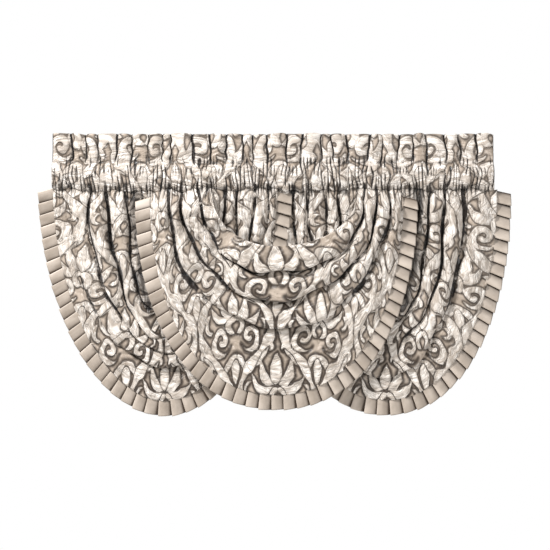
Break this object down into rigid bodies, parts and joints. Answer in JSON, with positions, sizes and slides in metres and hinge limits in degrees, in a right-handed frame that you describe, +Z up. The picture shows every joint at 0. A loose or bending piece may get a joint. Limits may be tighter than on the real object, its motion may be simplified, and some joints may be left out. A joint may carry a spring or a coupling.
{
  "type": "waterfall swag valance",
  "caption": "Window valance hung by a gathered rod-pocket heading, with overlapping cowl swags edged in knife-pleated trim.",
  "frame": {"origin": "middle of the heading's top edge, at the middle of its thickness; everything hangs below it", "axes": "+X along the heading to the viewer's right, +Z up out of the heading's top edge, and the front faces -Y"},
  "size_m": [1.327, 0.0914, 0.7938],
  "materials": {
    "damask": "satin weave ground with a raised, crinkled scroll figure",
    "trim": "plain sateen, pressed into knife pleats"
  },
  "bodies": {
    "root": {"header_band": "damask", "swag_left": "damask", "swag_centre": "damask", "swag_right": "damask", "trim_left": "trim", "trim_centre": "trim", "trim_right": "trim"}
  },
  "joints": []
}
